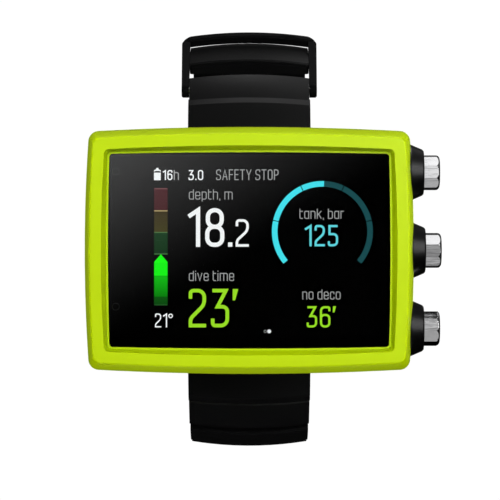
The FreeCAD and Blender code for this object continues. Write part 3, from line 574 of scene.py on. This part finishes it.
# rings printed round the two light sensors, behind the glass
SENSOR_X = -32.5                 # from the middle of the pod
print_grey = surface("print_grey", (0.06, 0.06, 0.06), 0.5, Specular_IOR_Level=0.0)
for ring_name, sensor_z in (("sensor_ring_upper", 19.2), ("sensor_ring_lower", -13.7)):
    sensor = (SENSOR_X - SCREEN_X / MM, sensor_z)
    show_strokes(ring_name, [arc_stroke(sensor, 0.85, 0, 360, 0.18)], print_grey, y=PRINT_Y)


# ---------------------------------------------------------------- studio
WHITE_GLOW = 1.02                # just over full white, so that the backdrop is never grey
BACKDROP_R = 6
FLOOR_R = 0.66
FLOOR_Z = -0.12                  # below what the camera sees
PANEL_Y = -1.5                   # the reflector's place, behind the camera
PANEL_SIZE = 0.27
PANEL_SHIFT = 0.008              # where its glow starts, from its middle
PANEL_TURN = -121                # degrees: the way its glow grows
PANEL_GLOW = 52.0
CARD_R = 0.5                     # radius of the bent card on the buttons' side
CARD_X = (0.066, 0.25)           # its two edges
CARD_STEPS = 70                  # flat faces in its bend
# what the polished caps reflect: degrees above straight ahead, and how bright it is there
CARD_GLOW = (
    (-130, 0.0), (-100, 0.005), (-85, 0.1), (-80, 0.18), (-77, 0.5), (-71, 0.3), (-68, 0.005), (-64, 0.005),
    (-60, 0.35), (-54, 0.4), (-46, 0.2), (-42, 0.005), (-10, 0.005), (-5, 0.2), (2, 0.3), (5, 0.85),
    (11, 0.85), (13, 0.005), (16, 0.005), (19, 0.7), (22, 0.4), (26, 0.2), (30, 0.005), (68, 0.005),
    (73, 0.9), (84, 1.05), (124, 1.05), (128, 0.005), (150, 0.0),
)

# name, direction from the object, distance, size, how much of full white it gives a surface that faces it,
# and whether it lights the surfaces or only shows in their gloss
LIGHTS = (
    ("key", (0.28, -1, 0.4), 0.34, 0.17, 0.575, "diffuse"),
    ("fill_left", (-0.34, -1, 0.12), 0.6, 0.22, 0.26, "diffuse"),
    ("fill_low", (0.05, -1, -0.34), 0.6, 0.22, 0.13, "diffuse"),
    ("side_left", (-1, 0.36, 0.1), 0.8, 0.5, 0.35, "diffuse"),
    ("side_right", (1, 0.36, 0.1), 0.8, 0.5, 0.58, "diffuse"),
    ("above", (0, 0.36, 1), 0.8, 0.6, 0.34, "diffuse"),
    ("below", (0, 0.36, -1), 0.8, 0.5, 0.54, "diffuse"),
    ("sheen", (0.56, -1, 0.36), 0.37, 0.1, 0.3, "glossy"),
    ("ramp_gloss", (0, 0.2, 1), 0.8, 0.22, 0.08, "glossy"),
    ("collar_gloss", (0.72, -0.69, 0.24), 0.6, 0.42, 0.17, "glossy"),
)


def hide_from(piece, *rays):
    """Keeps a piece or a light out of the given kinds of ray."""
    for ray in rays:
        setattr(piece, "visible_" + ray, False)


def area_light(name, direction, distance, size, share, rays):
    """A square light that faces the origin and gives a white surface there the given share of white."""
    data = bpy.data.lights.new(name, "AREA")
    data.size = size
    data.energy = share * math.pi ** 2 * distance ** 2
    light = bpy.data.objects.new(name, data)
    towards = Vector(direction).normalized()
    light.location = towards * distance
    light.rotation_euler = towards.to_track_quat("Z", "Y").to_euler()
    hide_from(light, "camera", "transmission", "diffuse" if rays == "glossy" else "glossy")
    bpy.context.scene.collection.objects.link(light)


for settings in LIGHTS:
    area_light(*settings)


def glow_material(name):
    """A material that only gives light, with its node tree and its glow."""
    material = bpy.data.materials.new(name)
    material.use_nodes = True
    tree = material.node_tree
    tree.nodes.clear()
    glow = add_node(tree, "Emission")
    tree.links.new(glow.outputs[0], add_node(tree, "OutputMaterial").inputs["Surface"])
    return material, tree, glow


def backdrop():
    """A white globe that only the camera sees."""
    bpy.ops.mesh.primitive_uv_sphere_add(radius=BACKDROP_R, segments=48, ring_count=24)
    globe = bpy.context.object
    globe.name = "backdrop"
    material, _, glow = glow_material("backdrop")
    glow.inputs["Strength"].default_value = WHITE_GLOW
    globe.data.materials.append(material)
    hide_from(globe, "diffuse", "glossy", "transmission", "shadow")


def floor():
    """A pale round floor, below the camera's view."""
    bpy.ops.mesh.primitive_circle_add(vertices=96, radius=FLOOR_R, fill_type="NGON", location=(0, 0, FLOOR_Z))
    disc = bpy.context.object
    disc.name = "floor"
    disc.data.materials.append(surface("floor", (0.86, 0.86, 0.86), 0.7, mottle=(3, 0.01), grain=(900, 1e-5)))
    hide_from(disc, "diffuse", "glossy", "shadow")


def reflector():
    """A panel behind the camera whose glow grows to the upper left, for the sheen on the glass."""
    bpy.ops.mesh.primitive_plane_add(size=PANEL_SIZE, location=(0, PANEL_Y, 0),
                                     rotation=(math.radians(90), 0, 0))
    panel = bpy.context.object
    panel.name = "reflector"
    material, tree, glow = glow_material("reflector")
    place = add_node(tree, "Mapping", {"Vector": own_place(tree), "Location": (PANEL_SHIFT, 0, 0),
                                       "Rotation": (0, 0, math.radians(PANEL_TURN))}).outputs[0]
    fall = add_node(tree, "TexGradient", {"Vector": place}, gradient_type="QUADRATIC").outputs["Fac"]
    strength = add_node(tree, "Math", {0: fall, 1: PANEL_GLOW}, operation="MULTIPLY").outputs[0]
    tree.links.new(strength, glow.inputs["Strength"])
    panel.data.materials.append(material)
    hide_from(panel, "camera", "diffuse", "shadow")


def reflection_card():
    """A strip bent round the buttons' side, seen only in reflections, for the bands on the polished caps."""
    low, high = math.radians(CARD_GLOW[0][0]), math.radians(CARD_GLOW[-1][0])
    points, faces = [], []
    for i in range(CARD_STEPS + 1):
        angle = low + (high - low) * i / CARD_STEPS
        points += [(x, -CARD_R * math.cos(angle), CARD_R * math.sin(angle)) for x in CARD_X]
        if i:
            faces.append((2 * i - 2, 2 * i - 1, 2 * i + 1, 2 * i))
    mesh = bpy.data.meshes.new("reflection_card")
    mesh.from_pydata(points, [], faces)
    card = bpy.data.objects.new("reflection_card", mesh)
    bpy.context.scene.collection.objects.link(card)
    material, tree, glow = glow_material("reflection_card")
    place = add_node(tree, "SeparateXYZ", {0: own_place(tree)})
    ahead = add_node(tree, "Math", {0: place.outputs["Y"], 1: -1.0}, operation="MULTIPLY").outputs[0]
    angle = add_node(tree, "Math", {0: place.outputs["Z"], 1: ahead}, operation="ARCTAN2").outputs[0]
    stops = [(math.radians(degrees), (share, share, share, 1)) for degrees, share in CARD_GLOW]
    tree.links.new(ramped(tree, angle, stops, low, high), glow.inputs["Color"])
    mesh.materials.append(material)
    hide_from(card, "camera", "diffuse", "shadow")


def surroundings():
    """Soft light from everywhere but straight ahead of the glass."""
    world = bpy.data.worlds.new("surroundings")
    world.use_nodes = True
    tree = world.node_tree
    direction = add_node(tree, "SeparateXYZ", {0: add_node(tree, "TexCoord").outputs["Generated"]})
    ahead = ranged(tree, direction.outputs["Y"], 0.0, 1.0, -0.97, -0.9)
    height = ranged(tree, direction.outputs["Z"], 0.0, 0.05, -0.6, 0.6)
    share = add_node(tree, "Math", {0: ahead, 1: height}, operation="MULTIPLY").outputs[0]
    tree.nodes["Background"].inputs["Color"].default_value = (1, 1, 1, 1)
    tree.links.new(share, tree.nodes["Background"].inputs["Strength"])
    bpy.context.scene.world = world


backdrop()
floor()
reflector()
reflection_card()
surroundings()
